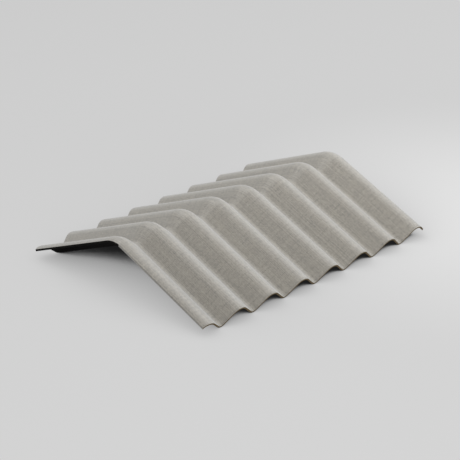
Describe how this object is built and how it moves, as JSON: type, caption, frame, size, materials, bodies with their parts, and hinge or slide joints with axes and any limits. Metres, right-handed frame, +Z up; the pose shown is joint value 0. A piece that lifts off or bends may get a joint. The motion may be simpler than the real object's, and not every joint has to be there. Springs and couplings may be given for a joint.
{
  "type": "roof ridge cap",
  "caption": "Corrugated fibre-cement ridge cap: one cranked wavy sheet with a round ridge bend that covers the top joint of two roof slopes.",
  "frame": {"origin": "on the floor under the middle of the sheet's box", "axes": "+X along the ridge from the underlap to the overlap side, +Y across the ridge, +Z up"},
  "size_m": [1.086, 0.8292, 0.2116],
  "materials": {
    "fibre_cement": "matt, fine felt-marked cement"
  },
  "bodies": {
    "root": {"ridge_cap": "fibre_cement"}
  },
  "joints": []
}
